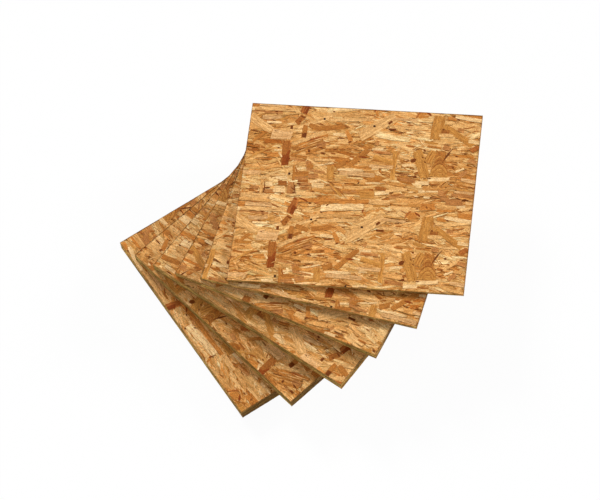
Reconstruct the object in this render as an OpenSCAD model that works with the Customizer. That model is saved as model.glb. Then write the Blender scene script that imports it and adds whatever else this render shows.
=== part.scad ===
// Stack of oriented strand board panels, lying flat and opened like a fan.
// Each panel is turned a little further than the one below it, about one upright
// line just off the panels' left edges, and the panels get thinner towards the top.
// Millimetres, +Z up. The origin is the centre of the bottom panel's underside,
// and the bottom panel's front edge runs along X.

/* [Panel outline] */
// Depth of every panel, from its front edge to its back edge
panel_d = 407; // [320:1:520]
// Width of the bottom panel along its front edge
bottom_w = 462; // [380:1:560]
// Width of the second panel
second_w = 462; // [380:1:560]
// Width of the third panel
third_w = 466; // [380:1:560]
// Width of the fourth panel
fourth_w = 442; // [380:1:560]
// Width of the fifth panel
fifth_w = 443; // [380:1:560]
// Width of the top panel
top_w = 467; // [380:1:560]

/* [Panel thickness] */
// Thickness of the bottom panel
bottom_t = 25; // [6:1:40]
// Thickness of the second panel
second_t = 22; // [6:1:40]
// Thickness of the third panel
third_t = 20; // [6:1:40]
// Thickness of the fourth panel
fourth_t = 15; // [6:1:40]
// Thickness of the fifth panel
fifth_t = 8; // [6:1:40]
// Thickness of the top panel
top_t = 6; // [6:1:40]

/* [Fan] */
// Turn of each panel against the one below it, in degrees
fan_step = 10.1; // [0:0.1:14]
// Distance from the panels' left edges out to the line they turn about
pivot_out = 7; // [0:1:60]
// Distance from the panels' front edges back to the line they turn about
pivot_back = 307; // [200:1:320]

/* [Hidden] */

// Widths and thicknesses in stacking order, from the bottom up
widths = [bottom_w, second_w, third_w, fourth_w, fifth_w, top_w];
thicknesses = [bottom_t, second_t, third_t, fourth_t, fifth_t, top_t];

// Height of a panel's underside: the sum of the thicknesses below it
function underside(level) = level == 0 ? 0 : underside(level - 1) + thicknesses[level - 1];

// The line that the fan turns about, seen from above
fan_pivot = [-bottom_w / 2 - pivot_out, -panel_d / 2 + pivot_back];

// Colours of the pressed strands: the lower panels are a little darker
strand_tan = [0.80, 0.66, 0.45];
strand_shade = [0.74, 0.60, 0.40];

// One sawn, square-edged panel at its level in the fan
module panel(level) {
    translate([fan_pivot[0], fan_pivot[1], underside(level)])
        rotate([0, 0, level * fan_step])
            translate([pivot_out, -pivot_back, 0])
                linear_extrude(height = thicknesses[level])
                    square([widths[level], panel_d]);
}

module bottom_panel() {
    color(strand_shade) panel(0);
}

module second_panel() {
    color(strand_shade) panel(1);
}

module third_panel() {
    color(strand_shade) panel(2);
}

module fourth_panel() {
    color(strand_tan) panel(3);
}

module fifth_panel() {
    color(strand_tan) panel(4);
}

module top_panel() {
    color(strand_tan) panel(5);
}

bottom_panel();
second_panel();
third_panel();
fourth_panel();
fifth_panel();
top_panel();
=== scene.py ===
"""Looks of a fanned stack of oriented strand board panels.

Each panel is one mesh: a recessed core, a pile of pressed strands on both faces and the cut
strand ends on its four sawn edges. Lengths in the panel code are millimetres in the panel's
own frame: x along the front edge, y from front to back, z from the underside up.
"""
import math

import bpy
import numpy as np
from mathutils import Matrix, Vector


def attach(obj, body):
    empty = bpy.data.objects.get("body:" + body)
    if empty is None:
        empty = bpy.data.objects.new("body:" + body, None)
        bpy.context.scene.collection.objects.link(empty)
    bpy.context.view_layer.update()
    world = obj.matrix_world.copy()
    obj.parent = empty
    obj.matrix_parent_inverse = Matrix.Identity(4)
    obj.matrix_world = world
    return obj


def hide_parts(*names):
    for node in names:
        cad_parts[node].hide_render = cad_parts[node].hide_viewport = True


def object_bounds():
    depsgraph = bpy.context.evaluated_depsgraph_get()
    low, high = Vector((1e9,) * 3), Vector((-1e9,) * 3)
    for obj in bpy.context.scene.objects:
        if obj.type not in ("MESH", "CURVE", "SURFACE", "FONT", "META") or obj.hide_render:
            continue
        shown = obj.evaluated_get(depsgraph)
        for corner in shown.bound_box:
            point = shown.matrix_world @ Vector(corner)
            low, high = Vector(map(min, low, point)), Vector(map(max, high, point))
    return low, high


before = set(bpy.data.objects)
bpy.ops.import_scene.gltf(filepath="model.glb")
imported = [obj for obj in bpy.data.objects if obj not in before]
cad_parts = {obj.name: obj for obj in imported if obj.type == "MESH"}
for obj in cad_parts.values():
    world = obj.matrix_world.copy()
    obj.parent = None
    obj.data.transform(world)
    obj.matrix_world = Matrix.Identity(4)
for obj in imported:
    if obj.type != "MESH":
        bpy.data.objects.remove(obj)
cad_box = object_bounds()

MM = 0.001

# Panels from the bottom up: light that each gives back, against the top one, and where its front
# left corner lies on the repeat of the strand pattern. The light given back is partly the board's
# own tone and partly painted light and shade that evens out how much of the lamps' light each board
# gets
PANELS = {
    "bottom_panel": (1.1, (-74.8, 160.0)),
    "second_panel": (1.06, (176.7, 53.0)),
    "third_panel": (1.02, (150.2, 101.5)),
    "fourth_panel": (0.92, (-76.3, 80.5)),
    "fifth_panel": (0.97, (-175.8, 15.5)),
    "top_panel": (1.0, (-0.8, 2.0)),
}

# The view that the photograph was taken from
VIEW_AZIMUTH, VIEW_ELEVATION, VIEW_ROLL = 66.88, 60.73, -10.87
VIEW_DISTANCE = 5.9565
VIEW_AIM = np.array([0.0068, 0.0782, 0.048])
LENS, SENSOR, CLIP_END = 180.15, 36.0, 100.0

# Relief of the faces and edges
LEVEL_STEP = 0.04           # height that one strand adds to the pile
LEVELS = 34                 # strands that can lie on each other before the face is full
PLACED_LEVELS = 2 * LEVELS  # the same for the placed strands and the wisps over them
MARK_LEVELS = 3 * LEVELS    # and for the small marks
FLAKE_DEPTH = 0.3           # thickness of a strand
FLAKE_BEVEL = 0.3           # how far a strand's rim slopes in; the rim's painted shade lies on this slope
CORE_FACE_INSET = 1.45      # the core lies this far below the faces
CORE_EDGE_INSET = 0.7       # and this far behind the sawn edges
EDGE_BACK_INSET = 0.42      # and the backing of the cut strand ends this far
CELL = 1.25                 # grid on which strands are laid
TOUCH = 1e-6                # points this close are one
COVER_INSET = 45.0          # strands this far inside another panel's outline never show
SQUARE = np.array([(0, 0), (1, 0), (1, 1), (0, 1)])

PANEL_SEED, PLACED_SEED = 4100, 77
SEED_STEP = 0.07            # between the fibres of one strand

# Wood tones, dark to pale
RAMP_AT = [0.0, 0.22, 0.5, 0.76, 1.0]
RAMP = [(138, 74, 18), (186, 118, 46), (222, 166, 96), (243, 197, 132), (254, 226, 170)]
WARMTH = np.array([0.02, -0.04, -0.1])  # what one unit of it does to red, green and blue
TONES = {
    "knot": (46, 18, 6), "dark": (118, 60, 11), "brown": (172, 106, 44), "rust": (144, 69, 15),
    "red": (188, 114, 52), "bronze": (186, 122, 54), "orange": (208, 138, 64),
    "golden": (206, 147, 72), "tan": (229, 176, 108), "pale": (236, 188, 124),
    "beige": (226, 180, 124), "cream": (247, 211, 156), "mauve": (192, 132, 74),
}
CORE_TONE = (158, 100, 50)
EDGE_BACK_TONE = (150, 104, 54)
EDGE_TONES = [(170, 134, 70), (188, 150, 82), (146, 110, 56), (204, 164, 96), (172, 146, 72)]
# Cut ends across the strands look darker than cuts along them. The factors also hold painted light
# and shade: the front and back edges are made paler against the shade on the front edges, the left
# and right ones darker against the lamp on the right edges
ALONG_TONE_AND_LIGHT, ACROSS_TONE_AND_SHADE = np.array([1.28, 1.46, 1.64]), 0.73


def linear(rgb):
    """An 8-bit display colour as linear light."""
    c = np.asarray(rgb, float) / 255.0
    return np.where(c <= 0.04045, c / 12.92, ((c + 0.055) / 1.055) ** 2.4)


def ramp_tone(rng, k, warm=0.0):
    """A wood colour for k from 0, dark, to 1, pale, with a little hue of its own."""
    k = min(max(k, 0.0), 1.0)
    c = np.array([np.interp(k, RAMP_AT, [row[i] for row in RAMP]) for i in range(3)])
    warm += rng.normal()
    return linear(c) * (1 + WARMTH * warm)


def add_object(name, data):
    ob = bpy.data.objects.new(name, data)
    bpy.context.scene.collection.objects.link(ob)
    return ob


# Camera

def view_axes():
    """Right, up and back of the camera in the stack's frame."""
    a, e, r = (math.radians(v) for v in (VIEW_AZIMUTH, VIEW_ELEVATION, VIEW_ROLL))
    back = np.array([math.sin(a) * math.cos(e), -math.cos(a) * math.cos(e), math.sin(e)])
    right = np.array([math.cos(a), math.sin(a), 0.0])
    up = np.cross(back, right)
    c, s = math.cos(r), math.sin(r)
    return c * right + s * up, c * up - s * right, back


def add_camera():
    right, up, back = view_axes()
    data = bpy.data.cameras.new("camera")
    data.lens, data.sensor_width, data.sensor_fit = LENS, SENSOR, "HORIZONTAL"
    data.clip_end = CLIP_END
    cam = add_object("camera", data)
    turn = Matrix([[right[i], up[i], back[i]] for i in range(3)]).to_4x4()
    cam.matrix_world = Matrix.Translation(Vector(VIEW_AIM + back * VIEW_DISTANCE)) @ turn
    bpy.context.scene.camera = cam


# Panels

class Panel:
    """Place and size of one CAD panel, read from its node."""

    def __init__(self, name, along):
        co = np.array([v.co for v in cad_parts[name].data.vertices], float)
        self.name = name
        self.shade, self.start = PANELS[name]
        self.floor, self.top = co[:, 2].min(), co[:, 2].max()
        flat = np.unique(np.round(co[:, :2], 6), axis=0)
        sides = flat[1:] - flat[0]
        lengths = np.linalg.norm(sides, axis=1)
        # the diagonal is the longest side from a corner, the front edge the next
        u = sides[np.argsort(lengths)[1]]
        u = u / np.linalg.norm(u)
        self.u = u if u @ along > 0 else -u
        self.v = np.array([-self.u[1], self.u[0]])
        s, t = flat @ self.u, flat @ self.v
        self.corner = self.u * s.min() + self.v * t.min()
        self.w = (s.max() - s.min()) / MM
        self.d = (t.max() - t.min()) / MM
        self.t = (self.top - self.floor) / MM

    def world(self, local):
        """Millimetres in the panel's frame to metres in the stack's."""
        p = np.asarray(local, float) * MM
        flat = self.corner + p[:, :1] * self.u + p[:, 1:2] * self.v
        return np.column_stack([flat, self.floor + p[:, 2]])


class Side:
    """One of the six flat sides of a panel, with its own axes and its place on the bake map."""

    def __init__(self, origin, u, v, size, uv_at, uv_scale):
        self.origin, self.u, self.v = (np.array(a, float) for a in (origin, u, v))
        self.n = np.cross(self.u, self.v)
        self.size = np.array(size, float)
        self.uv_at, self.uv_scale = np.array(uv_at), uv_scale

    def place(self, st, depth):
        flat = self.origin + st[:, :1] * self.u + st[:, 1:2] * self.v
        return flat - np.asarray(depth).reshape(-1, 1) * self.n

    def uv(self, st):
        return self.uv_at + st * self.uv_scale


# Scale of the sides on the bake map: share of the map over the length that has to fit in it
LONGEST = 470
UV_FACE, UV_UNDER, UV_EDGE = 0.73 / LONGEST, 0.385 / LONGEST, 0.57 / LONGEST


def sides_of(p):
    """The sides by name: origin, two axes, size, and their corner and scale on the bake map."""
    w, d, t = p.w, p.d, p.t
    return {
        "face": Side((0, 0, t), (1, 0, 0), (0, 1, 0), (w, d), (0.005, 0.005), UV_FACE),
        "under": Side((0, d, 0), (1, 0, 0), (0, -1, 0), (w, d), (0.005, 0.655), UV_UNDER),
        "front": Side((0, 0, 0), (1, 0, 0), (0, 0, 1), (w, t), (0.41, 0.66), UV_EDGE),
        "right": Side((w, 0, 0), (0, 1, 0), (0, 0, 1), (d, t), (0.41, 0.74), UV_EDGE),
        "back": Side((w, d, 0), (-1, 0, 0), (0, 0, 1), (w, t), (0.41, 0.82), UV_EDGE),
        "left": Side((0, d, 0), (0, -1, 0), (0, 0, 1), (d, t), (0.41, 0.90), UV_EDGE),
    }


# Strands

LEAST_HALF = 0.3   # smallest half width that a rim is measured by
ENDS = ["point", "slant", "torn", "torn", "torn"]
END_SHARE = 0.55   # share of the half length that a torn end takes at most
SPLIT_END = 4.0    # half width from which an end is torn into five splinters, not three
SIDE_PITCH = 13    # length of a long side between two of its points
BEND = 0.014       # how far strands bend, against their length
WAVES = 6          # that a field is the sum of


class Strand:
    """A flat flake of wood: an outline about its own centre line, a place, a tone and a seed."""

    def __init__(self, outline, at, angle, tone, seed):
        self.angle, self.tone, self.seed = angle, tone, seed
        c, s = math.cos(angle), math.sin(angle)
        self.turn = np.array([[c, s], [-s, c]])
        self.at = np.asarray(at, float)
        self.half = np.maximum(np.abs(outline).max(0), LEAST_HALF)
        self.points = outline @ self.turn + self.at
        self.level = 0

    def local(self, points):
        return (points - self.at) @ self.turn.T

    def clip(self, size):
        """Saws the strand off at the panel's outline."""
        if (self.points >= 0).all() and (self.points <= size).all():
            return True
        pts = self.points
        for axis in (0, 1):
            for bound, sign in ((0.0, 1.0), (size[axis], -1.0)):
                pts = clip_half(pts, axis, bound, sign)
                if len(pts) < 3:
                    return False
        self.points = pts
        return True


def clip_half(pts, axis, bound, sign):
    """The part of a polygon on one side of an axis-parallel line."""
    dist = (pts[:, axis] - bound) * sign
    out = []
    for i in range(len(pts)):
        j = (i + 1) % len(pts)
        if dist[i] >= 0:
            out.append(pts[i])
        if (dist[i] > 0) != (dist[j] > 0) and dist[i] != dist[j]:
            f = dist[i] / (dist[i] - dist[j])
            cut = pts[i] + f * (pts[j] - pts[i])
            cut[axis] = bound
            out.append(cut)
    kept = [p for i, p in enumerate(out) if np.abs(p - out[i - 1]).max() > TOUCH]
    return np.array(kept)


def torn_end(rng, half_l, half_w, reach, style):
    """Points of a strand's right-hand end, from its lower to its upper long side."""
    if style == "point":
        return [(half_l, half_w * rng.uniform(-0.7, 0.7))]
    if style == "square":
        return [(half_l, -half_w), (half_l, half_w)]
    if style == "slant":
        slant = reach * rng.uniform(-0.5, 0.5)
        middle = half_l - abs(slant)
        return [(middle - slant, -half_w), (middle + slant, half_w)]
    # torn into splinters of uneven length
    count = 3 if half_w < SPLIT_END else 5
    at = np.linspace(-0.8, 0.8, count) + rng.uniform(-0.3, 0.3, count) / count
    short, long = rng.uniform(0.45, 1.0, count), rng.uniform(0.0, 0.4, count)
    back = np.where(np.arange(count) % 2, short, long)
    return [(half_l - b * reach, t * half_w) for b, t in zip(back, at)]


def strand_outline(rng, length, width, styles=None, wave=0.12, tear=2.4):
    """A splintery strand along s, counter-clockwise.

    Its long sides are wavy and its ends torn up to this many half widths deep.
    """
    hl, hw = length / 2, width / 2
    ends = rng.choice(ENDS, 2) if styles is None else styles
    reach = min(hl * END_SHARE, tear * hw)
    right = torn_end(rng, hl, hw, reach, ends[0])
    left = [(-s, -t) for s, t in torn_end(rng, hl, hw, reach, ends[1])]
    count = int(np.clip(length / SIDE_PITCH, 2, 5))
    sides = []
    for sign in (-1, 1):
        at = ((np.arange(count) + rng.uniform(0.2, 0.8, count)) / count * 2 - 1) * (hl - reach)
        sides.append([(-sign * s, sign * hw * (1 + wave * rng.normal())) for s in at])
    pts = np.array(sides[0] + right + sides[1] + left)
    bow, swing = rng.normal(0, BEND, 2) * length
    along = pts[:, 0] / hl
    pts[:, 1] += bow * (1 - along ** 2) + swing * (along - along ** 3)
    return pts


def sliver_outline(rng, length, width, bow=0.0):
    """A thin pointed splinter."""
    hl, hw = length / 2, width / 2
    a, b, c, d = rng.uniform(0.1, 0.6, 4)
    tips = rng.uniform(-0.6, 0.6, 2) * hw
    pts = np.array([(-hl, tips[0]), (-hl * a, -hw), (hl * b, -hw),
                    (hl, tips[1]), (hl * c, hw), (-hl * d, hw)])
    pts[:, 1] += bow * length * (1 - (pts[:, 0] / hl) ** 2)
    return pts


class Pile:
    """Strands laid one after the other on a face. Each lies on what is below it."""

    def __init__(self, size):
        self.size = np.array(size, float)
        n = np.ceil(self.size / CELL).astype(int)
        self.level = np.zeros(n, int)
        self.seen = np.full(n, -1)
        self.strands = []

    def cells(self, pts):
        """The grid cells whose centres lie in a polygon, as a window and a mask."""
        lo = np.maximum(np.floor(pts.min(0) / CELL).astype(int), 0)
        hi = np.minimum(np.ceil(pts.max(0) / CELL).astype(int), self.level.shape)
        window = (slice(lo[0], hi[0]), slice(lo[1], hi[1]))
        x = ((np.arange(lo[0], hi[0]) + 0.5) * CELL)[:, None]
        y = ((np.arange(lo[1], hi[1]) + 0.5) * CELL)[None, :]
        mask = np.zeros((hi[0] - lo[0], hi[1] - lo[1]), bool)
        for (ax, ay), (bx, by) in zip(pts, np.roll(pts, -1, axis=0)):
            if ay != by:
                mask ^= ((ay > y) != (by > y)) & (x < (bx - ax) * (y - ay) / (by - ay) + ax)
        return window, mask

    def lay(self, strand, limit=LEVELS):
        """Adds a strand, unless it lies off the face or the pile is full there."""
        if not strand.clip(self.size):
            return
        window, mask = self.cells(strand.points)
        if not mask.any():
            return
        level = self.level[window][mask].max() + 1
        if level > limit:
            return
        strand.level = level
        self.level[window][mask] = level
        self.seen[window][mask] = len(self.strands)
        self.strands.append(strand)

    def strand_at(self, p):
        """The strand on top at a point."""
        i, j = np.clip((p / CELL).astype(int), 0, np.array(self.level.shape) - 1)
        return self.strands[self.seen[i, j]]

    def settled(self):
        """The same pile without the strands that don't show, so that it lies flatter."""
        shown = set(np.unique(self.seen).tolist())
        flat = Pile(self.size)
        for i, strand in enumerate(self.strands):
            if i in shown:
                flat.lay(strand, MARK_LEVELS)
        return flat


class Field:
    """Smooth variation over a face: a few waves of random direction."""

    def __init__(self, rng, wavelength):
        turn = rng.uniform(0, 2 * math.pi, WAVES)
        k = 2 * math.pi / (wavelength * rng.uniform(0.6, 1.8, WAVES))
        self.k = np.column_stack([np.cos(turn) * k, np.sin(turn) * k])
        self.phase = rng.uniform(0, 2 * math.pi, WAVES)

    def at(self, p):
        waves = np.sin(self.k @ np.asarray(p) + self.phase)
        return float(waves.sum() / math.sqrt(WAVES / 2))


def turned(angle, s, t):
    c, d = math.cos(angle), math.sin(angle)
    return np.array([c * s - d * t, d * s + c * t])


# Random strands, with lengths and widths in millimetres, the spread of their lean in degrees, and
# tones as mean and spread on the ramp
MARGIN = 15              # strands start up to this far outside the face
BROAD_LENGTH, BROAD_WIDTH, BROAD_LEAN, BROAD_TONE = (60, 130), (12, 26), 14, (0.45, 0.08)
STRAND_LENGTH, STRAND_LEAN, STRAND_TONE = (18, 85), 9, (0.57, 0.12)
STRAY_LEAN = 28
STRAIGHT_SHARE = 0.82    # the others are strays
ODD_SHARE = 0.05         # so many strands are paler, and as many darker
PALER, DARKER = 0.26, 0.22
SPLIT_SHARE = 0.3        # so many have split into slivers
SPLIT_PITCH = 2.8        # width of a split strand to a sliver
SHADOW_LINE_SHARE = 0.45     # so many split strands get painted shadow: a dark sliver along their lower side
ASKEW_WIDTH, ASKEW_RATIO = (6, 13), (3.0, 6.5)
# Strands lying askew get deeper golden tones than those along the panel: partly painted shade for
# the sheen that they lack
ASKEW_TONES = ["golden", "golden", "tan", "orange", "golden", "brown", "mauve"]
WISP_LENGTH, WISP_WIDTH, WISP_BOW, WISP_LEAN = (5, 26), (0.9, 2.4), 0.06, 24
WISP_TONES = [(0.82, 0.1), (0.56, 0.12), (0.12, 0.1)]
WISP_SHARES = [0.36, 0.22, 0.42]
WISP_MIX = 0.7           # how far a wisp takes on the tone of the placed strand under it
WISPS_OVER = 8           # one wisp in this many lies over the placed strands
# Slow changes over a face: their wavelengths and how far they reach
TONE_WAVE, LEAN_WAVE, WARM_WAVE = 220, 110, 130
TONE_SWING, LEAN_SWING, WARM_SWING = 0.07, 7, 0.5

# The strand pattern repeats over every panel after so many millimetres
REPEAT = np.array([468.3, 232.4])
# Slow change of tone over it, front to back: paler and warmer until it starts anew
BAND_AT = [0, 58, 87, 116, 145, 190, 203, 206, REPEAT[1]]
BAND_LIGHT = [-0.03, -0.05, -0.02, 0.04, 0.05, 0.09, 0.08, 0.01, -0.03]
BAND_WARM = [-0.6, 0.2, 0.0, -0.1, 0.0, 0.2, 0.2, -0.7, -0.6]


def lay_bundle(rng, pile, at, angle, length, width, k):
    """A strand that has split along its fibres: slivers side by side, in nearly one tone."""
    seed = rng.uniform()
    count = max(2, int(round(width / SPLIT_PITCH)))
    # painted shadow: a dark sliver just below the strand's lower side
    if rng.uniform() < SHADOW_LINE_SHARE:
        shadow_line = sliver_outline(rng, length * rng.uniform(0.3, 0.8), rng.uniform(0.9, 2.0))
        spot = at + turned(angle, rng.uniform(-0.2, 0.2) * length, -width / 2 - 0.4)
        tone = ramp_tone(rng, rng.uniform(-0.1, 0.15))
        pile.lay(Strand(shadow_line, spot, angle, tone, seed))
    for i in rng.permutation(count):
        across = ((i + 0.5) / count - 0.5) * width + rng.normal(0, 0.3)
        run = length * rng.uniform(0.4, 1.0)
        along = rng.uniform(-0.5, 0.5) * (length - run)
        thin = sliver_outline(rng, run, width / count * rng.uniform(1.2, 2.1))
        tone = ramp_tone(rng, k + rng.normal(0, 0.09))
        spot = at + turned(angle, along, across)
        lean = angle + math.radians(rng.normal(0, 1.8))
        pile.lay(Strand(thin, spot, lean, tone, seed + SEED_STEP * i))


def fill_face(rng, pile, counts, hidden, start, placed):
    """Lays broad base strands, strands along the panel and askew, placed ones and fine wisps.

    Where another panel always covers the face, it gets fewer strands and no wisps.
    """
    tone_field, lean_field = Field(rng, TONE_WAVE), Field(rng, LEAN_WAVE)
    warm_field = Field(rng, WARM_WAVE)
    broad, strands, askew, wisps = counts

    def spot():
        return rng.uniform(-MARGIN, MARGIN + pile.size)

    def band(p, values):
        return np.interp((p[1] + start[1]) % REPEAT[1], BAND_AT, values)

    def shade(p, mean, spread):
        return rng.normal(mean + TONE_SWING * tone_field.at(p) + band(p, BAND_LIGHT), spread)

    def wood(p, k):
        return ramp_tone(rng, k, WARM_SWING * warm_field.at(p) + band(p, BAND_WARM))

    def lean(p, spread):
        return math.radians(LEAN_SWING * lean_field.at(p) + rng.normal(0, spread))

    for _ in range(broad):
        p = spot()
        out = strand_outline(rng, rng.uniform(*BROAD_LENGTH), rng.uniform(*BROAD_WIDTH))
        angle, tone = lean(p, BROAD_LEAN), wood(p, shade(p, *BROAD_TONE))
        pile.lay(Strand(out, p, angle, tone, rng.uniform()))
    for i in range(strands):
        p = spot()
        if hidden(p) and i % 3:
            continue
        angle = lean(p, STRAND_LEAN if rng.uniform() < STRAIGHT_SHARE else STRAY_LEAN)
        length, width = rng.uniform(*STRAND_LENGTH), rng.gamma(4.0, 1.5) + 1.6
        k = shade(p, *STRAND_TONE)
        odd = rng.uniform()
        if odd < ODD_SHARE:
            k += PALER
        elif odd < 2 * ODD_SHARE:
            k -= DARKER
        if rng.uniform() < SPLIT_SHARE:
            lay_bundle(rng, pile, p, angle, length, width + 2.0, k)
        else:
            out = strand_outline(rng, max(length, 2.5 * width), width)
            pile.lay(Strand(out, p, angle, wood(p, k), rng.uniform()))
        if i % (strands // askew) == 0:
            p = spot()
            if rng.uniform() < 0.75:
                angle = math.radians(rng.choice([-1, 1]) * rng.uniform(25, 65))
            else:
                angle = math.radians(rng.uniform(70, 110))
            width = rng.uniform(*ASKEW_WIDTH)
            ends = rng.choice(["slant", "torn", "square"], 2)
            out = strand_outline(rng, width * rng.uniform(*ASKEW_RATIO), width, ends, 0.06)
            tone = linear(TONES[rng.choice(ASKEW_TONES)]) * rng.uniform(0.9, 1.12)
            pile.lay(Strand(out, p, angle, tone, rng.uniform()))
    for i in range(wisps + wisps // WISPS_OVER):
        if i == wisps:
            for strand in placed:
                pile.lay(strand, PLACED_LEVELS)
        p = spot()
        if hidden(p):
            continue
        k = rng.choice([shade(p, *row) for row in WISP_TONES], p=WISP_SHARES)
        length, width = rng.uniform(*WISP_LENGTH), rng.uniform(*WISP_WIDTH)
        thin = sliver_outline(rng, length, width, rng.normal(0, WISP_BOW))
        tone, angle = wood(p, k), lean(p, WISP_LEAN)
        if i >= wisps:
            # a splinter of the strand that it lies on
            on = pile.strand_at(p)
            tone = WISP_MIX * on.tone + (1 - WISP_MIX) * tone
            angle = on.angle + math.radians(rng.normal(0, 8))
        limit = PLACED_LEVELS if i >= wisps else LEVELS
        pile.lay(Strand(thin, p, angle, tone, rng.uniform()), limit)
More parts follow.
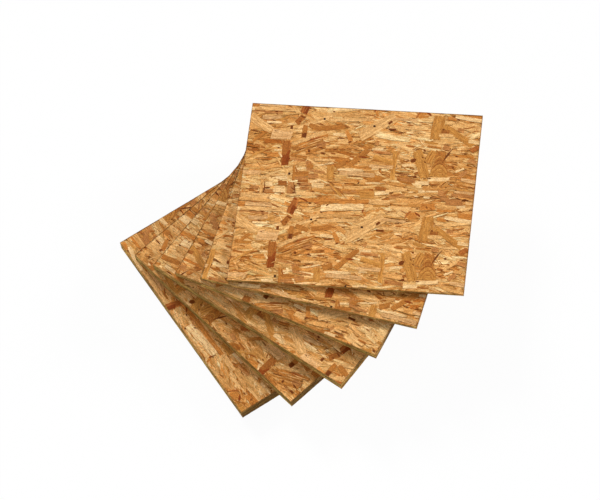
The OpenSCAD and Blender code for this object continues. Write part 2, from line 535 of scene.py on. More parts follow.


# Strands that stand out, placed one by one on the repeat: tone, width, and x and y of the points of
# their middle line
STANDOUTS = [
    # left: pale diagonal, orange and cream layers, the beige flake, the upright brown one
    ("pale", 17, -6, 150, 48, 113), ("pale", 11, 0, 195.5, 64, 195), ("tan", 7.5, -4, 186, 64, 185),
    ("beige", 9, 12, 176, 68, 175.5), ("pale", 9, -6, 165, 94, 165.5),
    ("mauve", 5.5, 3, 158, 64, 157), ("beige", 9.5, 22, 145.5, 64, 147.5),
    ("cream", 5, 33, 134, 64, 134), ("cream", 4, 75, 132.5, 92, 132.5),
    ("beige", 23, 45, 106, 91, 107), ("pale", 5, 60, 118, 91, 118), ("orange", 11, 42, 57, 73, 60),
    ("beige", 10, -3, 14.5, 38, 15.5), ("pale", 4.5, 38, 6, 91, 16), ("cream", 6.5, 67, 5.5, 92, 7),
    ("bronze", 9, 92, 72, 120, 91), ("golden", 6, 93, 86, 113, 97), ("bronze", 7, 90, 60, 126, 56),
    ("mauve", 6, 90, 52, 124, 48), ("brown", 16.5, 79, 96, 81.5, 34),
    ("rust", 14.5, 82, 60, 81.5, 34), ("rust", 5, 88.5, 72, 77, 44),
    # the brown and orange zone beside it
    ("bronze", 7, 95, 62, 140, 88), ("bronze", 8, 100, 72, 152, 101),
    ("bronze", 7, 120, 66, 160, 84), ("orange", 7, 108, 84, 162, 111),
    ("orange", 10, 104, 82, 122, 83), ("red", 7, 125, 96, 148, 105),
    ("mauve", 11, 140, 84, 159, 92), ("pale", 8, 91, 86, 152, 119), ("pale", 8, 96, 124, 160, 152),
    ("bronze", 10.5, 113, 133, 112, 102), ("dark", 9, 112.5, 114, 112.5, 101.5),
    ("brown", 12, 107, 154, 93, 133), ("red", 14, 116, 197, 104, 157),
    ("rust", 9, 113, 178, 108, 158), ("mauve", 14, 99.5, 233, 100, 203),
    ("bronze", 5.5, 100.5, 37, 103.5, 1), ("tan", 3.5, 92, 38, 119, 40.5),
    ("tan", 4.5, 105, 43, 126, 45), ("cream", 5, 107, 28.5, 126, 32),
    ("mauve", 12, 128, 48, 134, 25), ("mauve", 11, 130, 13, 153, 16), ("brown", 9, 112, 4, 134, 3),
    ("cream", 6, 136, 1, 159, 6), ("bronze", 12, 104, 16, 134, 20), ("mauve", 8, 106, 7, 130, 9),
    ("mauve", 6, 134, 28, 165, 24), ("bronze", 9, 126, 38, 141, 36),
    ("bronze", 8, 158, 75, 186, 79), ("orange", 7, 92, 183, 104, 178),
    # back left: golden strip, cream blocks, brown flakes
    ("tan", 7, 41.5, 233, 41.5, 201), ("cream", 11, 48, 223.5, 64, 223),
    ("cream", 15.5, 65, 212.5, 91.5, 213), ("brown", 10, 73, 227, 92, 227),
    ("mauve", 7, 115, 226, 141, 229), ("mauve", 8, 117, 217, 139, 219),
    ("cream", 12, 141, 226, 166, 227), ("pale", 9.5, 113, 205.5, 152, 205),
    ("golden", 6, 178, 233, 204, 203), ("mauve", 3.5, 174, 233, 193, 209),
    ("brown", 3, 182, 233, 213, 203), ("tan", 8.5, 205, 226, 247, 226.5),
    ("golden", 15, 236, 212, 269, 211),
    # middle: orange strands, the large cream one, tan layers
    ("orange", 9, 119, 190.5, 166, 193), ("orange", 9.5, 163, 194.5, 261, 196),
    ("cream", 15, 164, 174, 252, 184), ("tan", 9, 163, 158.5, 246, 163),
    ("pale", 7, 160, 147, 247, 152), ("pale", 6.5, 130, 168, 153, 166),
    ("pale", 8, 147, 152, 164, 157.5), ("bronze", 11, 119, 133, 148, 123),
    ("bronze", 12, 150, 126, 194, 133), ("pale", 13, 180, 99, 205, 98),
    ("cream", 7, 170, 113, 206, 112.5), ("orange", 9.5, 196, 123, 210, 97),
    ("bronze", 12, 184, 40, 205, 50), ("golden", 14, 174, 42, 174.5, 8),
    ("cream", 3.8, 142, 37.5, 166, 43.5), ("cream", 4, 160, 42, 180, 48),
    ("pale", 6, 140, 52.5, 183, 53.5), ("cream", 5, 188, 32.5, 242, 33),
    ("beige", 10, 192, 25, 266, 24), ("bronze", 11.5, 208, 40, 252, 90),
    ("pale", 23, 224, 110, 294, 163), ("pale", 10, 258, 196, 303, 196),
    ("golden", 5, 268, 187, 301, 187), ("beige", 6.5, 285, 157.5, 338, 156),
    ("pale", 8, 282, 137, 346, 137), ("golden", 11, 256, 68, 306, 52),
    ("golden", 9.5, 299, 85, 301, 15), ("cream", 7, 252, 83.5, 277, 86),
    ("mauve", 7.5, 255, 78.5, 292, 76.5), ("pale", 4.5, 264, 97.5, 284, 97),
    ("pale", 10, 300, 97.5, 336, 91), ("pale", 8, 309, 72, 334, 66.5),
    ("cream", 6.5, 316, 50, 342, 54), ("pale", 6, 306, 48, 316, 46.5),
    ("beige", 8, 250, 44.5, 300, 45), ("cream", 5, 256, 38, 272, 39),
    ("cream", 4.5, 247, 5, 278, 6.5), ("mauve", 9, 308, 20, 346, 16),
    ("cream", 9, 267, 215, 299, 219.5), ("pale", 6.5, 288, 221.5, 333, 229),
    ("brown", 8, 268, 227, 292, 226), ("mauve", 9, 296, 208.5, 330, 215),
    ("pale", 7, 302, 185, 345, 186), ("tan", 7, 300, 197, 338, 196),
    # right: golden flakes that lie askew, cream strands, orange layers
    ("orange", 15, 336, 166.5, 358, 172), ("golden", 20, 342, 90, 366, 22),
    ("golden", 24, 381, 173, 375, 111), ("golden", 13, 391, 148, 453, 104),
    ("brown", 9, 387, 134, 404, 133), ("orange", 8, 396, 166.5, 416, 163),
    ("orange", 13, 436, 175, 484, 174), ("cream", 8.5, 411, 170.5, 476, 163),
    ("orange", 15, 360, 190, 392, 193), ("tan", 10, 392, 194, 438, 194),
    ("cream", 7, 432, 195.5, 452, 197.5), ("cream", 7, 354, 226, 369, 226),
    ("cream", 4.5, 368, 226.5, 395, 228), ("cream", 5.5, 366, 213.5, 379, 213),
    ("mauve", 13, 394, 226, 412, 222), ("mauve", 10, 399, 212, 417, 211),
    ("mauve", 14, 411, 206, 446, 206), ("pale", 8, 449, 206, 472, 206),
    ("pale", 5.5, 395, 155, 413, 154), ("pale", 8.5, 382, 125, 413, 124),
    ("mauve", 9, 419, 141.5, 433, 137), ("bronze", 22, 390, 92, 390, 30),
    ("golden", 14, 366, 57, 378, 90), ("golden", 30, 373, 44, 410, 43),
    ("cream", 9, 370, 21.5, 415, 26), ("cream", 9, 346, 12, 375, 13.5),
    ("mauve", 9, 433, 31, 447, 46), ("cream", 5, 423, 42, 441, 52), ("beige", 8, 435, 26, 470, 22),
    ("red", 11, 449, 91, 466, 104), ("mauve", 9, 445, 71, 464, 66),
    ("cream", 8, 443, 114, 472, 112), ("mauve", 11, 394, 98, 409, 96),
    ("mauve", 8, 420, 222, 466, 220), ("beige", 6, 425, 229, 470, 228),
    ("golden", 6, 356, 108, 384, 104), ("bronze", 5, 362, 98, 392, 95),
    ("orange", 6, 395, 185, 432, 186),
]

# Knots, splits, growth rings and other small marks, laid last. Many of the narrow dark and brown
# ones are painted shade of the crevices and holes between strands
MARKS = [
    ("knot", 5, 91.5, 17.2, 95.5, 16.6), ("knot", 4.2, 147.6, 148, 151.6, 147.6),
    ("knot", 4.2, 249.5, 138.3, 254, 137), ("knot", 2.8, 233, 3.2, 235.5, 6),
    ("dark", 4.8, 280, 132.5, 296, 132.5), ("dark", 5.5, 279, 144, 287, 152),
    ("brown", 3, 292, 129, 303, 128.3), ("brown", 2.5, 226, 162.4, 243, 163.2, 254, 158),
    ("pale", 3.2, 404, 81, 411.5, 96), ("dark", 3, 397, 62.5, 414.5, 96),
    ("brown", 6, 408, 54.5, 421, 52.5), ("dark", 3, 416, 53.2, 420.5, 52.2),
    ("dark", 6.5, 334.5, 61, 342.5, 66.5), ("brown", 4.6, 319, 96.8, 338, 95.3),
    ("dark", 5, 341, 25, 348.5, 27.5), ("brown", 6, 343, 32.5, 351.5, 36.5),
    ("brown", 4, 311, 19.5, 315.5, 17.5), ("brown", 2.8, 328, 40.2, 334, 38.8),
    ("red", 4, 334, 162, 340, 175, 346, 180), ("rust", 4.2, 352, 177.5, 364, 169.5),
    ("dark", 3.2, 353, 186.8, 360, 186), ("brown", 4, 372.5, 193.5, 377.5, 187.5),
    ("brown", 3, 381, 190.5, 388, 184), ("brown", 4, 363, 197.2, 370, 196),
    ("brown", 4, 405.5, 221, 413, 232), ("dark", 3, 445.5, 213.4, 449.8, 212.6),
    ("brown", 4, 394, 208.3, 403, 206.3), ("mauve", 2, 378, 211.2, 400, 215),
    ("brown", 4, 436, 186.5, 445.5, 183.5), ("dark", 3, 416.5, 165.2, 421.5, 162.8),
    ("brown", 3, 430, 143, 442, 145, 454, 149.3), ("brown", 2.6, 449.5, 135, 455, 138.5, 462, 139),
    ("dark", 3.2, 390, 140.5, 391.5, 137), ("dark", 4.2, 203, 96.3, 210.5, 99.2),
    ("brown", 2.6, 213.5, 95.5, 219, 98, 221.5, 103), ("dark", 4, 126.5, 74.5, 127, 69),
    ("dark", 4, 150.5, 69.2, 160, 68), ("brown", 3.6, 169.5, 69.6, 182, 68.4),
    ("dark", 3, 174.5, 78.8, 183, 79.8), ("dark", 3, 180.5, 105.6, 197, 105.4),
    ("dark", 3, 144.5, 82, 157, 80), ("rust", 2.6, 137.5, 100, 146, 100.2),
    ("cream", 4.2, 209.5, 59.6, 218.5, 59.2), ("brown", 4.5, 209.5, 64, 219.5, 64.6),
    ("rust", 4, 227.5, 64, 246, 64.2), ("rust", 3.4, 118.5, 196, 130, 192, 138.5, 186.8),
    ("red", 4, 149.5, 186.6, 161.5, 187.2), ("dark", 3, 139.5, 184.2, 146.5, 183),
    ("pale", 5, 140, 180, 157, 181.2), ("dark", 2.6, 175.3, 180.4, 180.8, 184.8),
    ("brown", 2, 127.8, 171, 128.6, 164), ("dark", 2.6, 165.2, 167, 168.8, 166),
    ("brown", 3, 190.5, 134.5, 203, 132), ("cream", 4.2, 202, 139, 223, 139.2),
    ("brown", 2.6, 209.5, 136.2, 218.5, 135), ("dark", 3, 142.5, 212.3, 149.5, 210.6),
    ("brown", 3, 150.5, 203.4, 163, 204.2), ("brown", 2.6, 159.5, 210.3, 163.5, 208.3),
    ("brown", 2, 140.2, 226, 140.7, 209), ("mauve", 5, 220.5, 218.3, 233.5, 216),
    ("mauve", 5, 204.5, 215.3, 222, 213), ("pale", 5, 185, 226.5, 204, 224),
    ("brown", 2.6, 188.5, 222.3, 198.5, 221), ("brown", 4, 299.5, 213, 323, 216.6),
    ("brown", 5, 283.5, 203, 301, 205.3), ("pale", 3.6, 280.5, 203, 292.5, 210.5),
    ("cream", 3.2, 335, 222.4, 346, 224), ("cream", 3.6, 346, 215, 357, 214.5),
    ("bronze", 3.2, 300.5, 195.8, 307.5, 193.3), ("brown", 3, 318.5, 191.7, 325.5, 191.4),
    ("brown", 2.6, 292.5, 189.3, 297.5, 186), ("rust", 2.8, 250.2, 179, 249, 171),
    ("orange", 5, 252, 173, 256, 161), ("brown", 2.6, 305, 150, 313, 150.2),
    ("dark", 2.6, 315.5, 150.6, 325.5, 150), ("brown", 3.6, 317.5, 144, 331, 144.6),
    ("brown", 2.6, 302.5, 143.2, 306.5, 142.4), ("cream", 4.6, 316.5, 127, 333, 127.3),
    ("brown", 2.6, 321.5, 124.6, 333, 121.8), ("mauve", 3, 440, 66.3, 444.5, 64.8),
    ("brown", 3, 428, 65.2, 432.5, 64), ("dark", 3, 421, 79.2, 425, 77.8),
    ("dark", 4, 355, 89.2, 360.5, 86.3), ("dark", 3, 353.5, 72.2, 358.5, 70.8),
    ("dark", 3, 359.5, 63, 363.5, 59.5), ("dark", 3, 370, 23.5, 377.5, 24.8),
    ("brown", 4, 372.5, 12.2, 396, 12), ("brown", 2.2, 262, 105, 265.5, 100),
    ("brown", 2.6, 250.5, 99.5, 254.5, 95.8), ("dark", 2.6, 246, 108.3, 248.3, 104.6),
    ("mauve", 8, 258, 99, 264.5, 95), ("golden", 2.6, 288, 82.5, 293, 81, 297, 77.5),
    ("red", 3.6, 259, 77.5, 278, 76.5), ("bronze", 7.5, 11.5, 87.5, 33, 108.5),
    ("brown", 4.4, 1.5, 68.3, 23, 66), ("brown", 2.6, 15, 79.5, 20, 80, 27.5, 77.5),
    ("pale", 2.6, 13.5, 82, 21, 83.3, 29, 81), ("brown", 4, 24, 58.8, 38, 66, 53, 70.5),
    ("golden", 4, 2, 44, 28, 62, 52, 78), ("cream", 5, 56, 70.2, 73, 70.2),
    ("cream", 4.5, 66, 66.5, 74, 53.5), ("dark", 2.6, 51.5, 115, 56.5, 113.5),
    ("dark", 3, 62, 76.5, 68, 75.5), ("brown", 4, 12, 209.3, 30, 206),
    ("brown", 3, 29.5, 204.6, 40, 203.4), ("mauve", 7, 18.5, 214, 37, 213.5),
    ("cream", 4.8, 22.5, 220.5, 32, 222.6), ("cream", 4, -1, 223.6, 18, 223),
    ("pale", 4.2, 8.5, 213.2, 19.5, 212.5), ("brown", 3, 8, 227.6, 15, 227),
    ("dark", 3.6, 48, 214.4, 59.5, 215), ("mauve", 6.5, 47.5, 207.5, 66, 208.5),
    ("brown", 3, 47.5, 202.6, 70.5, 204.5), ("brown", 3.2, 82.3, 204.6, 88.5, 202.4),
    ("dark", 2.2, 46.5, 229, 46.8, 204), ("dark", 2.4, 104, 232, 111, 204),
    ("dark", 2.4, 57, 191.3, 58.8, 194.8), ("brown", 1.8, 61, 197, 62.6, 201.2),
    ("brown", 2.2, 22, 182.6, 51, 181), ("brown", 3, 65.5, 179, 81.5, 170.3),
    ("dark", 3.8, 46.5, 160.3, 53.5, 158.6), ("dark", 2.8, 49, 154.5, 55.5, 153.6),
    ("tan", 4.2, 10.5, 155, 27, 154.5), ("golden", 4.2, 49.5, 139, 77, 148.2),
    ("mauve", 3, 30.5, 138, 48.5, 139), ("dark", 2.6, 43.5, 139.3, 51.5, 137.5),
    ("dark", 5.5, 85.6, 129.3, 85, 119.5), ("dark", 3.2, 99, 140, 103.5, 138.3),
    ("dark", 2.6, 100.5, 152.4, 110.5, 148.2), ("dark", 2.2, 100, 219.4, 109.5, 211.6),
    ("dark", 3, 104.5, 207.2, 112.5, 206), ("dark", 4.2, 111.5, 228.5, 121, 227),
    ("pale", 4, 102, 189.4, 107.5, 190.2), ("brown", 3, 100.8, 186.2, 106.5, 186),
    ("rust", 3, 115, 173.5, 119.5, 171), ("rust", 4, 108.5, 194.3, 116.5, 192),
    ("brown", 2.5, 104, 34, 109.5, 20),
    # rings of the arched flake and the lines that fan out beside it
    ("brown", 2.4, 374, 41, 391, 60, 409, 42), ("golden", 2.4, 376, 37, 391, 55, 407, 38),
    ("bronze", 2.2, 378, 34, 391.5, 50, 406, 35), ("golden", 2.2, 380, 32, 392, 45, 404, 32),
    ("bronze", 2.2, 382, 30, 392, 40.5, 403, 30), ("golden", 2.2, 384, 29, 392.5, 36, 401, 29),
    ("brown", 2.6, 381, 60, 390, 69, 399, 61), ("brown", 1.8, 383, 75, 389, 84, 397, 76),
    ("golden", 2.2, 382, 66, 389.5, 76, 398, 68),
    # streaks over the brown zone
    ("pale", 1.9, 104, 80, 130, 94), ("tan", 1.7, 112, 76, 142, 90),
    ("pale", 1.9, 122, 86, 150, 100), ("dark", 1.7, 100, 70, 120, 80),
    ("dark", 1.6, 130, 80, 156, 92), ("dark", 1.6, 118, 92, 138, 102),
    ("tan", 1.7, 96, 66, 124, 80), ("pale", 1.8, 133, 97, 158, 108),
    ("golden", 2, 362, 60, 364, 74, 369, 87), ("brown", 1.6, 366, 58, 369, 73, 375, 88),
    ("bronze", 2.4, 370, 57, 374, 72, 382, 84), ("golden", 1.8, 373, 51, 377, 62, 384, 72),
]


WHOLE_WIDTH = 4.4     # narrower placed strands are plain slivers
SPOT_WIDTH = 7.0      # short ones narrower than this are spots
SPOT_SCALE = 1.4, 1.35
SPOT_CORNERS = 9
STRIP_POINTS = 9      # along each side of a bent strip
FIBRE_PITCH = 3.0     # one split fibre in this width of a placed strand
FIBRE_SPREAD = 0.14   # how far the fibres' tones lie apart
DARKER_IS_REDDER = np.array([0.8, 1.0, 1.3])


def strip_outline(points, width):
    """A bent strip with pointed ends through three points, about their middle."""
    a, b, c = points
    share = np.linspace(0, 1, STRIP_POINTS)[:, None]
    bend = 2 * b - (a + c) / 2
    line = (1 - share) ** 2 * a + 2 * share * (1 - share) * bend + share ** 2 * c
    run = np.gradient(line, axis=0)
    across = np.column_stack([-run[:, 1], run[:, 0]]) / np.linalg.norm(run, axis=1)[:, None]
    half = width / 2 * np.sqrt(np.clip(1 - (2 * share - 1) ** 4, 0.05, 1))
    return np.vstack([line - across * half, (line + across * half)[::-1]])


def spot_outline(rng, length, width):
    """A rounded spot, such as a knot."""
    turn = np.arange(SPOT_CORNERS) / SPOT_CORNERS * 2 * math.pi
    oval = np.column_stack([np.cos(turn) * length, np.sin(turn) * width]) / 2
    return oval * rng.uniform(0.85, 1.1, (SPOT_CORNERS, 1))


def placed_strand(rng, tone, width, *line):
    """The flakes of a strand with this middle line and width.

    A wide one has a body and the fibres that split off it.
    """
    points = np.reshape(line, (-1, 2)).astype(float)
    a, c = points[0], points[-1]
    middle, run = (a + c) / 2, c - a
    length, angle = np.linalg.norm(run), math.atan2(run[1], run[0])
    colour, seed = linear(TONES[tone]) * rng.uniform(0.95, 1.05), rng.uniform()
    fibres = 0
    if len(points) == 3:
        turn = np.array([[run[0], run[1]], [-run[1], run[0]]]) / length
        out = (strip_outline(points, width) - middle) @ turn.T
    elif length < 1.5 * width and width < SPOT_WIDTH:
        out = spot_outline(rng, SPOT_SCALE[0] * length, SPOT_SCALE[1] * width)
    elif width < WHOLE_WIDTH:
        out = sliver_outline(rng, 1.12 * length, 1.08 * width, rng.normal(0, 0.03))
    else:
        ends = ["slant", "slant"]
        if length > 2.5 * width:
            ends = rng.choice(["slant", "torn", "torn"], 2)
        out = strand_outline(rng, length, width, ends, 0.05, 0.6)
        fibres = int(width / FIBRE_PITCH)
    flakes = [(out, middle, angle, colour, seed)]
    for i in range(fibres):
        across = ((i + rng.uniform(0.1, 0.9)) / fibres - 0.5) * 0.94 * width
        part = length * rng.uniform(0.3, 0.8)
        along = rng.uniform(-0.52, 0.52) * (length - part)
        shade = np.clip(rng.normal(1.0, FIBRE_SPREAD), 0.55, 1.4)
        thin = sliver_outline(rng, part, rng.uniform(0.8, 2.4))
        spot = middle + turned(angle, along, across)
        lean = angle + math.radians(rng.normal(0, 2.5))
        flakes.append((thin, spot, lean, colour * shade ** DARKER_IS_REDDER, seed + SEED_STEP * i))
    return flakes


def repeated(panel, rows, hidden):
    """The placed strands where the repeat brings them on a panel's face, unless it is covered."""
    rng = np.random.default_rng(PLACED_SEED)
    size = np.array([panel.w, panel.d])
    found = []
    for row in rows:
        for out, at, angle, tone, seed in placed_strand(rng, *row):
            reach = np.linalg.norm(out, axis=1).max()
            first = at - panel.start
            low = np.ceil((-reach - first) / REPEAT).astype(int)
            high = np.floor((size + reach - first) / REPEAT).astype(int)
            for m in range(low[0], high[0] + 1):
                for n in range(low[1], high[1] + 1):
                    spot = first + REPEAT * (m, n)
                    if reach > COVER_INSET or not hidden(spot):
                        found.append(Strand(out, spot, angle, tone, seed))
    return found


# Meshes

LEAST_INNER = 0.25   # a flake's top is at least this share of its outline
LIFT = 0.12          # and is moved to its upper long side by this share of its half width
MOST_LIFT = 0.35     # but no further than this
UPPER_RIM_SHADE = 0.35     # how dark the painted shade on the rim is on that side, against the other


class Mesh:
    """Gathers flakes into one mesh with tone, grain and painted rim shade values at its points."""

    def __init__(self):
        self.verts, self.faces, self.uvs = [], [], []
        self.tone, self.grain, self.rim = [], [], []
        self.count = 0

    def add(self, verts, faces, uv, tone, grain, rim):
        self.faces += [[self.count + i for i in f] for f in faces]
        self.verts.append(verts)
        self.uvs.append(uv)
        self.tone.append(np.tile(np.append(tone, 1.0), (len(verts), 1)))
        self.grain.append(grain)
        self.rim.append(rim)
        self.count += len(verts)

    def flake(self, strand, side, depth, bevel=FLAKE_BEVEL):
        """A strand as a closed flake. Its rim slopes down, but is straight where it is sawn."""
        outer = strand.points
        n = len(outer)
        local = strand.local(outer)
        shrink = np.maximum(1 - bevel / strand.half, LEAST_INNER)
        # painted shade: the lower long side has the wider, darker rim, as the shadow in a crevice
        lift = np.array([0.0, min(MOST_LIFT, LIFT * strand.half[1])])
        inner = (local * shrink + lift) @ strand.turn + strand.at
        sawn = (outer < TOUCH) | (outer > side.size - TOUCH)
        inner = np.clip(np.where(sawn, outer, inner), 0, side.size)
        st = np.vstack([inner, outer])
        at = side.place(st, np.repeat([depth, depth + FLAKE_DEPTH], n))
        ring = [[n + i, n + (i + 1) % n, (i + 1) % n, i] for i in range(n)]
        faces = [list(range(2 * n - 1, n - 1, -1))] + ring + [list(range(n))]
        grain = np.column_stack([strand.local(st), np.full(2 * n, strand.seed)])
        # painted shade on the outer ring: full on the lower long side, weaker on the upper one,
        # none where sawn
        edge = np.where(local[:, 1] > 0, UPPER_RIM_SHADE, 1.0)
        rim = np.append(np.zeros(n), np.where(sawn.any(1), 0.0, edge))
        self.add(at, faces, side.uv(st), strand.tone, grain, rim)

    def core(self, panel, sides):
        """The recessed body between the strands, dark where a gap shows it."""
        e, f = CORE_EDGE_INSET, min(CORE_FACE_INSET, panel.t / 4)
        low, high = np.array([e, e, f]), np.array([panel.w - e, panel.d - e, panel.t - f])
        for name, side in sides.items():
            inset = f if name in ("face", "under") else e
            corners = SQUARE * side.size
            at = np.clip(side.place(corners, inset), low, high)
            grain = np.column_stack([corners, np.zeros(4)])
            uv, tone = side.uv(corners), linear(CORE_TONE)
            self.add(at, [[0, 1, 2, 3]], uv, tone, grain, np.zeros(4))

    def build(self, name, panel, material):
        me = bpy.data.meshes.new(name)
        me.from_pydata(panel.world(np.vstack(self.verts)).tolist(), [], self.faces)
        for key, kind, field, values in (
            ("strand_tone", "FLOAT_COLOR", "color", np.vstack(self.tone)),
            ("strand_grain", "FLOAT_VECTOR", "vector", np.vstack(self.grain)),
            ("strand_rim_shade", "FLOAT", "value", np.concatenate(self.rim)),
        ):
            layer = me.attributes.new(key, kind, "POINT")
            layer.data.foreach_set(field, values.astype(np.float32).ravel())
        corner = np.empty(len(me.loops), np.int32)
        me.loops.foreach_get("vertex_index", corner)
        me.uv_layers.new(name="OFBake").data.foreach_set(
            "uv", np.vstack(self.uvs)[corner].astype(np.float32).ravel())
        me.materials.append(material)
        me.validate()
        return add_object(name, me)


# Cut strands on the edges
LAYER = 0.95          # thickness of a layer
LEAST_LAYERS = 4
FACE_SHARE = 0.25     # share of the thickness that the strands of each face take up
LONG_RUN, SHORT_RUN = (28, 85), (6, 24)
END_DEPTH = 0.4       # they lie up to this far behind the edge
END_BEVEL = 0.15
MOTTLE_WAVE, MOTTLE_SWING = 30, 0.22   # slow change of tone along an edge


def lay_edge(rng, mesh, side, grain_along):
    """Cut strands on a sawn edge: long in layers that run along it, short ends in the others."""
    length, height = side.size
    # the edge's own tone, with painted light on the front and back and painted shade on the left
    # and right
    cut_tone_and_light = ALONG_TONE_AND_LIGHT if grain_along else ACROSS_TONE_AND_SHADE
    mottle = Field(rng, MOTTLE_WAVE)
    # a closed backing, so that no gap between the cut ends lets light through
    tone = linear(EDGE_BACK_TONE) * cut_tone_and_light
    middle = side.size / 2
    backing = Strand(SQUARE * side.size - middle, middle, 0.0, tone, rng.uniform())
    mesh.flake(backing, side, EDGE_BACK_INSET)
    layers = max(int(round(height / LAYER)), LEAST_LAYERS)
    for j in range(layers):
        share = (j + 0.5) / layers
        in_face = share < FACE_SHARE or share > 1 - FACE_SHARE
        s = -rng.uniform(0, 20)
        while s < length:
            run = rng.uniform(*(LONG_RUN if in_face == grain_along else SHORT_RUN))
            thick = height / layers * rng.uniform(0.75, 1.5)
            at = s + run / 2, (j + 0.5 + rng.uniform(-0.25, 0.25)) * height / layers
            tone = linear(EDGE_TONES[rng.integers(len(EDGE_TONES))])
            tone = tone * cut_tone_and_light * rng.uniform(0.5, 1.3)
            tone *= math.exp(MOTTLE_SWING * mottle.at(at))
            lens = sliver_outline(rng, run * 1.08, thick)
            lean = math.radians(rng.normal(0, 0.8))
            strand = Strand(lens, at, lean, tone, rng.uniform())
            if strand.clip(side.size):
                mesh.flake(strand, side, rng.uniform(0.0, END_DEPTH), END_BEVEL)
            s += run * rng.uniform(0.9, 1.0)


def cover(panel, side, other):
    """Whether a point of a face is always covered by the panel that lies against it."""
    def hidden(p):
        if other is None:
            return False
        flat = side.place(np.array([p]), 0.0)[0, :2] * MM
        off = (panel.corner + flat[0] * panel.u + flat[1] * panel.v - other.corner) / MM
        s, t = off @ other.u, off @ other.v
        return COVER_INSET < s < other.w - COVER_INSET and COVER_INSET < t < other.d - COVER_INSET
    return hidden


# Random strands on a face: broad ones, ones along the panel, askew ones and wisps
TOP_COUNTS = (420, 2300, 8, 2600)
FACE_COUNTS = (420, 2300, 30, 2600)
UNDER_COUNTS = (330, 420, 40, 150)


def build_panel(index, panel, material, below, above):
    """One panel's strands, which take the place of its CAD node."""
    rng = np.random.default_rng(PANEL_SEED + index)
    sides = sides_of(panel)
    mesh = Mesh()
    mesh.core(panel, sides)
    over, under = cover(panel, sides["face"], above), cover(panel, sides["under"], below)
    placed, marks = repeated(panel, STANDOUTS, over), repeated(panel, MARKS, over)
    faces = [
        ("face", over, TOP_COUNTS if above is None else FACE_COUNTS, placed, marks),
        ("under", under, UNDER_COUNTS, [], []),
    ]
    for name, hidden, counts, flakes, last in faces:
        pile = Pile(sides[name].size)
        fill_face(rng, pile, counts, hidden, panel.start, flakes)
        for strand in last:
            pile.lay(strand, MARK_LEVELS)
        pile = pile.settled()
        top = pile.level.max()
        for strand in pile.strands:
            # the board's brightness: partly its own tone, partly painted light and shade
            strand.tone = strand.tone * panel.shade
            mesh.flake(strand, sides[name], (top - strand.level) * LEVEL_STEP)
    for name in ("front", "right", "back", "left"):
        lay_edge(rng, mesh, sides[name], name in ("front", "back"))
    ob = mesh.build(panel.name + "_strands", panel, material)
    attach(ob, "root")
    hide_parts(panel.name)


# Materials

class Nodes:
    """Short names for making and joining nodes."""

    def __init__(self, tree):
        self.tree = tree

    def new(self, kind, inputs=(), **settings):
        node = self.tree.nodes.new(kind)
        for key, value in settings.items():
            setattr(node, key, value)
        for key, value in dict(inputs).items():
            if isinstance(value, bpy.types.NodeSocket):
                self.tree.links.new(value, node.inputs[key])
            else:
                node.inputs[key].default_value = value
        return node

    def math(self, operation, a, b=0.0):
        return self.new("ShaderNodeMath", {0: a, 1: b}, operation=operation).outputs[0]

    def mapped(self, value, low, high, to_low, to_high):
        given = {"Value": value, "From Min": low, "From Max": high,
                 "To Min": to_low, "To Max": to_high}
        return self.new("ShaderNodeMapRange", given).outputs["Result"]

    def noise(self, vector, scale, detail=2.0, rough=0.5):
        at = self.new("ShaderNodeVectorMath", {0: vector, 1: scale}, operation="MULTIPLY")
        given = {"Vector": at.outputs[0], "Scale": 1.0, "Detail": detail, "Roughness": rough}
        return self.new("ShaderNodeTexNoise", given).outputs["Fac"]

    def mix(self, blend, factor, a, b):
        given = {0: factor, 6: a, 7: b}
        return self.new("ShaderNodeMix", given, data_type="RGBA", blend_type=blend).outputs[2]

    def seen(self):
        """1 where a ray shows what it meets, 0 where it only brings light."""
        path = self.new("ShaderNodeLightPath").outputs
        straight = self.math("MAXIMUM", path["Is Camera Ray"], path["Is Glossy Ray"])
        return self.math("MAXIMUM", straight, path["Is Transmission Ray"])


# What bands and fibres do to a strand's tone, and the tones of flecks and of the painted shade on
# strand rims
BAND_DARK, BAND_PALE = (0.88, 0.82, 0.74, 1), (1.1, 1.1, 1.1, 1)
FIBRE_DARK, FIBRE_PALE = (0.68, 0.51, 0.31, 1), (1.24, 1.27, 1.3, 1)
FLECK_TONE, RIM_SHADE_TONE = (0.24, 0.085, 0.012, 1), (0.17, 0.06, 0.008, 1)
RINGS = 2.1   # growth rings: radians of their sine per millimetre across a strand


def new_material(name):
    """A material, its nodes and its shader."""
    mat = bpy.data.materials.new(name)
    mat.use_nodes = True
    return mat, Nodes(mat.node_tree), mat.node_tree.nodes["Principled BSDF"]


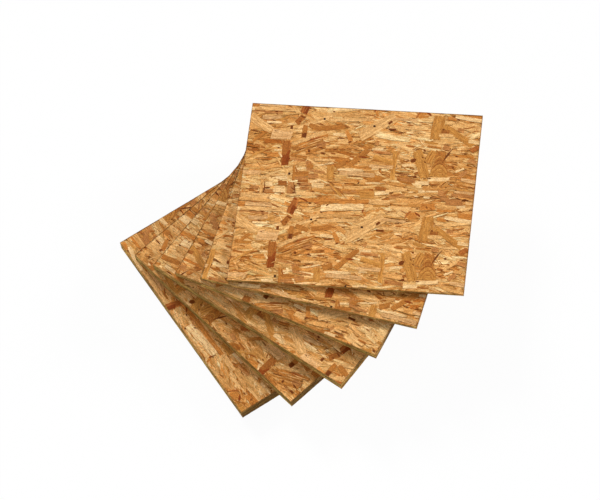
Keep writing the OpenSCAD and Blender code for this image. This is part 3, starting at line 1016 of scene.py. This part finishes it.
def strand_board():
    """Pressed strands: each strand's own tone with fibres, growth bands and a dark rim of painted
    shade.
    """
    mat, n, shader = new_material("strand_board")
    tree = mat.node_tree
    tone = n.new("ShaderNodeAttribute", attribute_name="strand_tone").outputs["Color"]
    grain = n.new("ShaderNodeAttribute", attribute_name="strand_grain").outputs["Vector"]
    rim = n.new("ShaderNodeAttribute", attribute_name="strand_rim_shade").outputs["Fac"]

    wobble = n.mapped(n.noise(grain, (0.035, 0.06, 17.0), 2.0), 0.0, 1.0, -3.0, 3.0)
    apart = n.new("ShaderNodeSeparateXYZ", {0: grain}).outputs
    across = n.math("ADD", apart["Y"], wobble)
    wavy = n.new("ShaderNodeCombineXYZ", {"X": apart["X"], "Y": across, "Z": apart["Z"]}).outputs[0]

    fibres = n.noise(wavy, (0.045, 0.34, 61.0), 5.0, 0.74)
    bands = n.noise(wavy, (0.012, 0.16, 43.0), 1.0)
    flecks = n.noise(wavy, (0.09, 0.55, 29.0), 3.0, 0.6)
    mottle = n.noise(grain, (0.34, 0.46, 71.0), 3.0, 0.68)
    rings = n.math("SINE", n.math("MULTIPLY", across, RINGS))
    where = n.mapped(n.noise(grain, (0.008, 0.02, 37.0), 0.0), 0.45, 0.65, 0.0, 0.12)
    ringed = n.math("MULTIPLY", rings, where)

    band = n.mapped(bands, 0.36, 0.64, 0.0, 1.0)
    banded = n.mix("MULTIPLY", 1.0, tone, n.mix("MIX", band, BAND_DARK, BAND_PALE))
    fibre = n.math("ADD", n.mapped(fibres, 0.3, 0.7, 0.0, 1.0), ringed)
    streaked = n.mix("MULTIPLY", 1.0, banded, n.mix("MIX", fibre, FIBRE_DARK, FIBRE_PALE))
    mottled = n.mix("MULTIPLY", 1.0, streaked, n.mapped(mottle, 0.32, 0.68, 0.64, 1.34))
    fleck = n.mapped(flecks, 0.58, 0.68, 0.0, 0.7)
    flecked = n.mix("MIX", fleck, mottled, FLECK_TONE)
    frayed = n.mapped(fibres, 0.3, 0.7, 1.0, 0.6)
    # painted shade along each strand's rim, broken up by the fibres
    rim_shade = n.math("MULTIPLY", n.mapped(rim, 0.05, 1.0, 0.0, 0.8), frayed)
    colour = n.mix("MIX", rim_shade, flecked, RIM_SHADE_TONE)
    tree.links.new(colour, shader.inputs["Base Color"])

    tree.links.new(n.mapped(fibres, 0.25, 0.75, 0.78, 0.56), shader.inputs["Roughness"])
    shader.inputs["Specular IOR Level"].default_value = 0.1
    bump = n.new("ShaderNodeBump", {"Height": fibres, "Strength": 0.35, "Distance": 0.0004})
    tree.links.new(bump.outputs["Normal"], shader.inputs["Normal"])
    return mat


# Stage

SKY = 0.335                    # light from all round
SKY_TINT = (0.97, 1.0, 1.05)   # a little cooler than the lamps, which are as much warmer
LAMP_TINT = (1.015, 1.0, 0.975)
FLOOR_WHITE = 0.95             # share of the floor that shows white whatever falls on it
FLOOR_HALF, FLOOR_GAP = 40.0, 0.0003   # metres, the gap below the stack
# Lamps: share of the light on a level face, degrees up, angular size, and degrees to the right of
# straight behind the stack. The first throws shadows of about the same width before all panels,
# because the thicker ones are turned further out of its way; the last is a weak fill for the edges.
LAMPS = [
    (0.375, 21.0, 13.0, -21.0),
    (0.255, 16.0, 12.0, 79.0),
    (0.045, 14.0, 40.0, -140.0),
]


def add_light():
    back = view_axes()[2]
    away = np.array([-back[0], -back[1]]) / math.hypot(back[0], back[1])
    beside = np.array([away[1], -away[0]])
    for share, elevation, size, azimuth in LAMPS:
        e, a = math.radians(elevation), math.radians(azimuth)
        flat = math.cos(e) * (math.cos(a) * away + math.sin(a) * beside)
        data = bpy.data.lights.new("sun", "SUN")
        data.energy, data.angle = share * math.pi / math.sin(e), math.radians(size)
        data.color = LAMP_TINT
        lamp = add_object("sun", data)
        toward = Vector((flat[0], flat[1], math.sin(e)))
        lamp.rotation_euler = toward.to_track_quat("Z", "Y").to_euler()

    world = bpy.data.worlds.new("studio")
    bpy.context.scene.world = world
    world.use_nodes = True
    n = Nodes(world.node_tree)
    seen = n.seen()
    ground = world.node_tree.nodes["Background"]
    colour = n.mix("MIX", seen, (*SKY_TINT, 1), (1, 1, 1, 1))
    world.node_tree.links.new(colour, ground.inputs["Color"])
    world.node_tree.links.new(n.mapped(seen, 0.0, 1.0, SKY, 1.0), ground.inputs["Strength"])


def add_floor():
    mat, n, shader = new_material("floor")
    tree = mat.node_tree
    shader.inputs["Base Color"].default_value = (0.98, 0.98, 0.98, 1)
    shader.inputs["Roughness"].default_value = 0.9
    shader.inputs["Specular IOR Level"].default_value = 0.0
    seen = n.seen()
    white = n.new("ShaderNodeEmission", {"Strength": 1.0}).outputs[0]
    share = n.math("MULTIPLY", seen, FLOOR_WHITE)
    mixed = n.new("ShaderNodeMixShader", {0: share, 1: shader.outputs[0], 2: white})
    tree.links.new(mixed.outputs[0], tree.nodes["Material Output"].inputs["Surface"])
    me = bpy.data.meshes.new("floor")
    z = cad_box[0][2] - FLOOR_GAP
    corners = [(x, y, z) for x, y in ((2 * SQUARE - 1) * FLOOR_HALF).tolist()]
    me.from_pydata(corners, [], [(0, 1, 2, 3)])
    me.materials.append(mat)
    floor = add_object("floor", me)


# Build

bpy.context.scene.view_settings.view_transform = "Standard"
add_camera()
add_light()
add_floor()
board = strand_board()
along = np.array([1.0, 0.0])
stack = []
for name in PANELS:
    stack.append(Panel(name, along))
    along = stack[-1].u
for index, panel in enumerate(stack):
    below = stack[index - 1] if index else None
    above = stack[index + 1] if index + 1 < len(stack) else None
    build_panel(index, panel, board, below, above)
